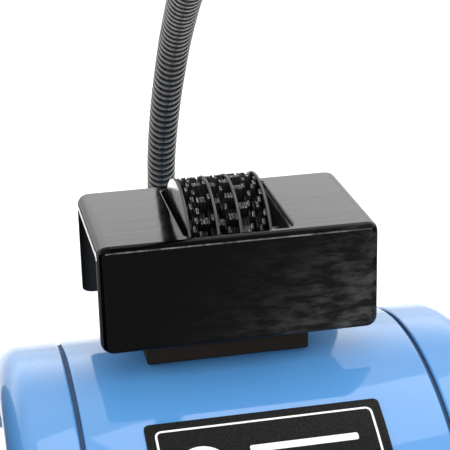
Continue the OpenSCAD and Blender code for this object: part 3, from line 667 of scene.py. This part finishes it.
def rating_label():
    """Dark label with a white rim line and plain pictograms in place of its printing."""
    height, corner = LABEL_ARC * MOTOR_R, 1.4
    outline = rounded_rectangle(LABEL_X[0], LABEL_X[1], 0, height, corner)
    dress(sheet_patch("label_sheet", outline, LABEL_GAP, LABEL_T), "motor", "label_film", FILM,
          "rating_label")
    marks = [label_rim(height)] + wheel_symbol(-17.5, 15.0) + plain_bars(-5.5, 9.4, (27, 18, 23))
    dress(join("label_print", marks), "motor", "label_film", PRINT)


# ---------------------------------------------------------------- dresser


def channel_section(inset, thin):
    """Section of the channel as (y, z), drawn in by inset; thin is the sheet's thickness there."""
    y0, y1 = CHANNEL_Y[0] + inset, CHANNEL_Y[1] - inset
    z0, z1 = CHANNEL_Z[0] + inset, CHANNEL_Z[1] - inset
    fold, foot = 1.6, min(0.9, thin / 2)
    inner = 0.6
    yi0, yi1, zi = y0 + thin, y1 - thin, z1 - thin
    points = arc(y0 + foot, z0 + foot, foot, 270, 180, 4)
    points += arc(y0 + fold, z1 - fold, fold, 180, 90, 7)
    points += arc(y1 - fold, z1 - fold, fold, 90, 0, 7)
    points += arc(y1 - foot, z0 + foot, foot, 0, -90, 4)
    points += arc(yi1 + foot, z0 + foot, foot, 270, 180, 4)
    points += arc(yi1 - inner, zi - inner, inner, 0, 90, 3)
    points += arc(yi0 + inner, zi - inner, inner, 90, 180, 3)
    points += arc(yi0 - foot, z0 + foot, foot, 0, -90, 4)
    return points


def channel_body():
    """The channel before its window is cut; its ends are rolled in."""
    (roll_x, roll_in), edge, steps, bays = CHANNEL_ROLL, 0.7, 8, 6
    x0, x1 = CHANNEL_X
    rolled = []
    for k in range(steps + 1):
        a = math.pi / 2 * (1 - k / steps)
        rolled.append((x0 + roll_x * (1 - math.sin(a)), roll_in * (1 - math.cos(a))))
    stations = rolled + [(x0 + (x1 - x0) * i / bays, 0) for i in range(1, bays)]
    stations += [(x0 + x1 - x, inset) for x, inset in reversed(rolled)]
    loops = []
    for x, inset in stations:
        thin = max(edge, CHANNEL_T - 0.35 * inset)
        loops.append([(x, y, z) for y, z in channel_section(inset, thin)])
    return loft("channel_body", loops)


def window_cutter():
    """What the window takes out; it flares into a small rounded rim at the top."""
    rim, corner, top = 0.8, 2.0, CHANNEL_Z[1]
    levels = [(top - 6, 0.0), (top - rim, 0.0)]
    levels += [(top - rim + rim * math.sin(a), rim * (1 - math.cos(a)))
               for a in (math.radians(d) for d in (22, 45, 67, 90))]
    levels.append((top + 2, rim + 0.05))
    loops = []
    for z, grow in levels:
        loop = rounded_rectangle(WINDOW_X[0] - grow, WINDOW_X[1] + grow, WINDOW_Y[0] - grow,
                                 WINDOW_Y[1] + grow, corner + grow, 6)
        loops.append([(x, y, z) for x, y in loop])
    return loft("window_cutter", loops)


def divide_level(obj, z):
    """Divides the faces that cross a height, in mm."""
    mesh = bmesh.new()
    mesh.from_mesh(obj.data)
    geometry = mesh.verts[:] + mesh.edges[:] + mesh.faces[:]
    bmesh.ops.bisect_plane(mesh, geom=geometry, plane_co=(0, 0, z * MM), plane_no=(0, 0, 1))
    mesh.to_mesh(obj.data)
    mesh.free()


def channel_primer_and_highlights(obj):
    """More materials: primer inside, a painted highlight of bright metal on one end, and a painted
    highlight line along the front fold.
    """
    highlit_fold, primer, lit_end = 1, 2, 3
    for material in (FOLD_HIGHLIGHT, PRIMER, END_HIGHLIGHT):
        obj.data.materials.append(material)
    for face in obj.data.polygons:
        y, z = face.center.y / MM, face.center.z / MM
        normal, depth = face.normal, CHANNEL_Z[1] - z
        if CHANNEL_Y[0] + 1 < y < CHANNEL_Y[1] - 1 and depth > 1.5:
            face.material_index = primer
        # Painted highlight: bright metal on the end faces near the top.
        if normal.x < -0.99 and depth < END_BAND:
            face.material_index = lit_end
        # Painted highlight: a broken pale line along the front fold.
        if normal.y < -0.96 and 0.05 < normal.z < 0.28 and depth < 2:
            face.material_index = highlit_fold


def dresser_channel():
    """Painted channel, open at both ends, its edges rolled in, with a window in its top."""
    obj = channel_body()
    cut(obj, window_cutter())
    divide_level(obj, CHANNEL_Z[1] - END_BAND)
    tidy_normals(obj, 40)
    flatten_shading(obj)
    dress(obj, "dresser", "channel_paint", CHANNEL, "dresser_channel")
    channel_primer_and_highlights(obj)


def toothed_disc(name, x0, x1, phase):
    """A stamped star disc: straight-sided teeth with flat tips."""
    root, tip, pitch = DISC_R - TOOTH_DEPTH, DISC_R - 0.15, 2 * math.pi / STAR_TEETH
    tooth = ((-0.20, root), (-0.13, tip), (0.13, tip), (0.20, root))  # share of a pitch, radius
    outline = []
    for i in range(STAR_TEETH):
        for share, r in tooth:
            a = (i + share - phase) * pitch
            outline.append((CUTTER_Y - r * math.sin(a), CUTTER_Z + r * math.cos(a)))
    obj = prism(name, outline, x0, x1, 25)
    hole = prism("bore", [(CUTTER_Y + y, CUTTER_Z + z) for y, z in
                          arc(0, 0, PIN_R + 0.06, 0, 360, 32)[:-1]], x0 - 1, x1 + 1)
    cut(obj, hole)
    return obj


def wear_and_glint_tips(obj):
    """Second and third materials: the flat tips, and the bevels round them, lighter than the
    flanks: partly rubbed steel, partly painted glints.
    """
    rubbed = 0.45  # depth below the tips that is rubbed bright and carries painted glints
    obj.data.materials.append(TIP_WEAR_AND_SHEEN)
    obj.data.materials.append(EDGE_WEAR_AND_GLINTS)
    for face in obj.data.polygons:
        y, z = face.center.y / MM - CUTTER_Y, face.center.z / MM - CUTTER_Z
        out = math.hypot(y, z)
        if out > DISC_R - rubbed:
            flat = (face.normal.y * y + face.normal.z * z) / out > 0.97
            face.material_index = 1 if flat else 2


def cutter_group(index, phases, body, node):
    """Thin toothed discs side by side; phases are shares of a tooth pitch, None leaves a gap."""
    gap, slack = 0.42, 0.03
    x0 = DISC_X[index] + gap
    step = (DISC_X[index + 1] - gap - x0) / len(phases)
    discs = [toothed_disc("disc", x0 + step * k + slack, x0 + step * (k + 1) - slack, phase)
             for k, phase in enumerate(phases) if phase is not None]
    obj = join(node + "_pack", discs)
    bevel(obj, 0.13, 1, 40, 25)
    dress(obj, body, "cutter_steel", CUTTER, node)
    wear_and_glint_tips(obj)


def spacer_discs():
    """Smooth hardened discs with a rounded rim."""
    half, edge, bore = 0.38, 0.2, PIN_R + 0.02
    made = []
    for x in DISC_X:
        profile = [(bore, x - half)]
        profile += arc(DISC_R - edge, x - half + edge, edge, -90, 0, 3)
        profile += arc(DISC_R - edge, x + half - edge, edge, 0, 90, 3)
        profile += [(bore, x + half)]
        made.append(lathe("spacer", profile, steps=96, centre=(CUTTER_Y, CUTTER_Z)))
    pack = dress(join("spacer_disc_pack", made), "dresser", "disc_steel", DISC, "spacer_discs")
    pack.data.materials.append(DISC_SIDE)
    for face in pack.data.polygons:
        face.material_index = 1 if abs(face.normal.x) > 0.99 else 0


# ---------------------------------------------------------------- flexible neck


def catmull(a, b, c, d, t):
    """A point between b and c on the smooth curve through four points."""
    return 0.5 * (2 * b + (c - a) * t + (2 * a - 5 * b + 4 * c - d) * t * t
                  + (3 * b - a - 3 * c + d) * t ** 3)


def neck_path():
    """Close points along the neck's route, and the length up to each of them."""
    route = [Vector((x, y, z + AXIS_H)) for x, y, z in NECK_ROUTE]
    dense = []
    for i in range(len(route) - 1):
        a, b = route[max(i - 1, 0)], route[i]
        c, d = route[i + 1], route[min(i + 2, len(route) - 1)]
        dense += [catmull(a, b, c, d, k / ROUTE_STEPS) for k in range(ROUTE_STEPS)]
    dense.append(route[-1])
    lengths = [0.0]
    for p, q in zip(dense, dense[1:]):
        lengths.append(lengths[-1] + (q - p).length)
    return dense, lengths


def neck_at(path, s):
    """Point and direction at a length along the neck."""
    dense, lengths = path
    lo, hi = 0, len(lengths) - 1
    while hi - lo > 1:
        mid = (lo + hi) // 2
        if lengths[mid] <= s:
            lo = mid
        else:
            hi = mid
    t = (s - lengths[lo]) / max(1e-9, lengths[hi] - lengths[lo])
    return dense[lo].lerp(dense[hi], t), (dense[hi] - dense[lo]).normalized()


# One ring of the neck: share of the pitch, and height over the tube's outside.
NECK_RING = ((0.0, -0.75), (0.06, -0.75), (0.10, -0.30), (0.20, -0.08), (0.36, 0.0), (0.62, 0.0),
             (0.80, -0.08), (0.92, -0.30), (0.97, -0.75))


def neck_stretch(name, s0, s1, path):
    """Wound steel strip: one flat band and one groove to each ring."""
    sides, rings = 28, max(1, round((s1 - s0) / NECK_PITCH))
    stations = [(s0 + (k + share) * (s1 - s0) / rings, height)
                for k in range(rings) for share, height in NECK_RING]
    stations.append((s1, NECK_RING[0][1]))
    loops = []
    for s, height in stations:
        centre, along = neck_at(path, s)
        across = Vector((1, 0, 0))
        across = (across - along * across.dot(along)).normalized()
        other = along.cross(across)
        turns = [2 * math.pi * k / sides for k in range(sides)]
        loops.append([centre + (across * math.cos(a) + other * math.sin(a)) * (TUBE_R + height)
                      for a in turns])
    return loft(name, loops, 50)


def flexible_neck():
    """Three stretches of neck, each reaching across one joint of the route."""
    path = neck_path()
    lengths = path[1]
    joints = [lengths[i * ROUTE_STEPS] for i in NECK_JOINTS]
    ends = [0.0, (joints[0] + joints[1]) / 2, (joints[1] + joints[2]) / 2, lengths[-1]]
    stands_for = {"lower": ["neck_root", "neck_lower"], "middle": ["neck_middle"],
                  "upper": ["neck_upper"]}
    for k, (part, nodes) in enumerate(stands_for.items()):
        obj = neck_stretch(part + "_neck", ends[k], ends[k + 1], path)
        obj.data.materials.append(NECK)
        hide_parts(*nodes)
        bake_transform(obj)


# ---------------------------------------------------------------- build

motor_sleeve()
for hand, stop in zip((-1, 1), BEARING_STOPS):
    end_shield(hand, stop)
rating_label()
dresser_channel()
cutter_group(0, (None, 0.35, 0.7, 0.12, 0.65, 0.65, 0.65, None, 0.8), "left_stars",
             "left_cutters")
cutter_group(1, (0.53, 0.53, None, 0.21, 0.75, 0.75, 0.75), "middle_stars", "middle_cutters")
cutter_group(2, (0.18, 0.18, 0.18, 0.26, 0.77, None, 0.17, 0.41, 0.8), "right_stars",
             "right_cutters")
spacer_discs()
flexible_neck()

soften("cutter_block", "dresser", "block_plastic", BLOCK, 0.5, 3)
soften("base_casting", "motor", "blue_paint", BLUE, 1.2, 3)
for side in ("left", "right"):
    soften(side + "_guard", "motor", "guard_paint", GUARD, 0.6)
    soften(side + "_rest", side + "_rest_slide", "steel", STEEL, 0.6, 3)
    soften(side + "_deflector", side + "_deflector_slide", "zinc", ZINC, 0.4)
    soften(side + "_shield_arm", side + "_shield", "guard_paint", GUARD, 0.5)
    soften(side + "_eye_shield", side + "_shield", "clear_sheet", CLEAR, 0.6, 3)
soften("left_wheel", "spindle", "abrasive_grey", GREY_GRIT, 0.4)
soften("right_wheel", "spindle", "abrasive_white", WHITE_GRIT, 0.4)
for node, body, slot, material, width in (
    ("guard_covers", "motor", "guard_paint", GUARD, 0.6),
    ("guard_screws", "motor", "zinc", ZINC, 0.5),
    ("rest_brackets", "motor", "guard_paint", GUARD, 0.7),
    ("inner_flanges", "spindle", "steel", STEEL, 0.4),
    ("outer_flanges", "spindle", "steel", STEEL, 0.4),
    ("spindle_nuts", "spindle", "zinc", ZINC, 0.6),
    ("lamp_socket", "motor", "black_plastic", BLACK, 0.4),
    ("lamp_shade", "lamp_head", "lamp_paint", LAMP, 0.4),
    ("lamp_bulb", "lamp_head", "bulb_glass", BULB, 0.4),
    ("lamp_button", "light_button", "red_plastic", RED, 0.6),
    ("switch_body", "motor", "black_plastic", BLACK, 0.4),
    ("switch_rocker", "rocker", "red_plastic", RED, 0.5),
    ("cable_gland", "motor", "black_plastic", BLACK, 0.5),
    ("base_cover", "motor", "guard_paint", GUARD, 0.4),
    ("rubber_feet", "motor", "rubber", RUBBER, 1.0),
    ("rest_knobs", "motor", "black_plastic", BLACK, 0.6),
    ("deflector_knobs", "motor", "black_plastic", BLACK, 0.6),
    ("shield_pivots", "motor", "black_plastic", BLACK, 0.6),
):
    soften(node, body, slot, material, width)

for node, material in {
    "base_screws": ZINC, "capacitor": WHITE, "capacitor_clip": ZINC, "terminal_block": WHITE,
    "tie_bolts": ZINC, "stator_core": LAMINATIONS, "stator_windings": COPPER, "rotor": ALLOY,
    "spindle_shaft": STEEL, "bearing_outer_rings": STEEL, "bearing_inner_rings": STEEL,
    "bearing_balls": STEEL, "wave_washer": ZINC, "blotters": PAPER, "cutter_pin": STEEL,
}.items():
    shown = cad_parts[node]
    for slot in shown.material_slots:
        slot.material = material
    if not shown.material_slots:
        shown.data.materials.append(material)

# ---------------------------------------------------------------- stage, light, camera


def pale_floor(half):
    """A square floor at the height of the bench; half its side, in metres."""
    mesh = bpy.data.meshes.new("floor")
    corners = [(x * half, y * half, 0) for x, y in ((-1, -1), (1, -1), (1, 1), (-1, 1))]
    mesh.from_pydata(corners, [], [(0, 1, 2, 3)])
    obj = bpy.data.objects.new("floor", mesh)
    bpy.context.scene.collection.objects.link(obj)
    pale = Shader("pale_floor", (0.90, 0.90, 0.90), 0.9)
    pale.link(pale.mix(pale.noise(3, 3), (0.89, 0.89, 0.89), (0.91, 0.91, 0.91)), "Base Color")
    mesh.materials.append(pale.material)


def softbox(name, centre, target, width, height, watts):
    """An area light aimed at a point; metres."""
    data = bpy.data.lights.new(name, "AREA")
    data.shape = "RECTANGLE"
    data.size, data.size_y = width, height
    data.energy = watts
    lamp = bpy.data.objects.new(name, data)
    bpy.context.scene.collection.objects.link(lamp)
    lamp.location = centre
    aim = Vector(target) - Vector(centre)
    lamp.rotation_mode = "QUATERNION"
    lamp.rotation_quaternion = aim.to_track_quat("-Z", "Y")
    lamp.visible_camera = False


def studio_world():
    """White studio, brightest in a band behind the object; the camera sees it plain white."""
    world = bpy.data.worlds.new("studio")
    bpy.context.scene.world = world
    world.use_nodes = True
    nodes, links = world.node_tree.nodes, world.node_tree.links
    direction = nodes.new("ShaderNodeTexCoord").outputs["Generated"]
    split = nodes.new("ShaderNodeSeparateXYZ")
    links.new(direction, split.inputs[0])
    ramp = nodes.new("ShaderNodeValToRGB")
    links.new(split.outputs["Z"], ramp.inputs["Fac"])
    ramp.color_ramp.interpolation = "EASE"
    stops = ((0.0, 0.45), (0.2, 0.6), (0.36, 1.0), (0.72, 0.55), (0.86, 0.78), (1.0, 0.78))
    elements = ramp.color_ramp.elements
    while len(elements) < len(stops):
        elements.new(0.5)
    for element, (height, level) in zip(elements, stops):
        element.position = height
        element.color = (level, level, level, 1)
    depth = nodes.new("ShaderNodeMapRange")
    links.new(split.outputs["Y"], depth.inputs["Value"])
    for socket, value in (("From Min", -1.0), ("From Max", 1.0), ("To Min", 1.6),
                          ("To Max", 2.35)):
        depth.inputs[socket].default_value = value
    studio = nodes["Background"]
    links.new(ramp.outputs["Color"], studio.inputs["Color"])
    links.new(depth.outputs["Result"], studio.inputs["Strength"])
    backdrop = nodes.new("ShaderNodeBackground")
    backdrop.inputs["Color"].default_value = (1, 1, 1, 1)
    seen = nodes.new("ShaderNodeMixShader")
    links.new(nodes.new("ShaderNodeLightPath").outputs["Is Camera Ray"], seen.inputs["Fac"])
    links.new(studio.outputs["Background"], seen.inputs[1])
    links.new(backdrop.outputs["Background"], seen.inputs[2])
    links.new(seen.outputs["Shader"], nodes["World Output"].inputs["Surface"])


def photo_camera():
    """The camera of the photo, fitted to the channel's edges, the seams and the label."""
    azimuth, elevation, roll = 0.199, 0.362, -0.025
    lens, stands = 124.66, (-0.07565, -0.3604, (AXIS_H + 244.0) * MM)
    look = Vector((math.sin(azimuth) * math.cos(elevation),
                   math.cos(azimuth) * math.cos(elevation), -math.sin(elevation)))
    right = Vector((math.cos(azimuth), -math.sin(azimuth), 0))
    up = right.cross(look)
    tilted_right = right * math.cos(roll) + up * math.sin(roll)
    tilted_up = up * math.cos(roll) - right * math.sin(roll)
    data = bpy.data.cameras.new("camera")
    data.sensor_width, data.lens = 36, lens
    data.clip_start, data.clip_end = 0.01, 50
    camera = bpy.data.objects.new("camera", data)
    bpy.context.scene.collection.objects.link(camera)
    axes = Matrix((tilted_right, tilted_up, -look)).transposed().to_4x4()
    camera.matrix_world = Matrix.Translation(stands) @ axes
    bpy.context.scene.camera = camera


pale_floor(12)
softbox("key_softbox", (-1.3, -1.5, 1.9), (0, 0, 0.24), width=1.3, height=1.3, watts=7)
softbox("top_softbox", (0.72, 0.3, 2.2), (0.05, 0, 0.24), width=1.1, height=1.5, watts=11)
studio_world()
photo_camera()
bpy.context.scene.view_settings.view_transform = "Standard"
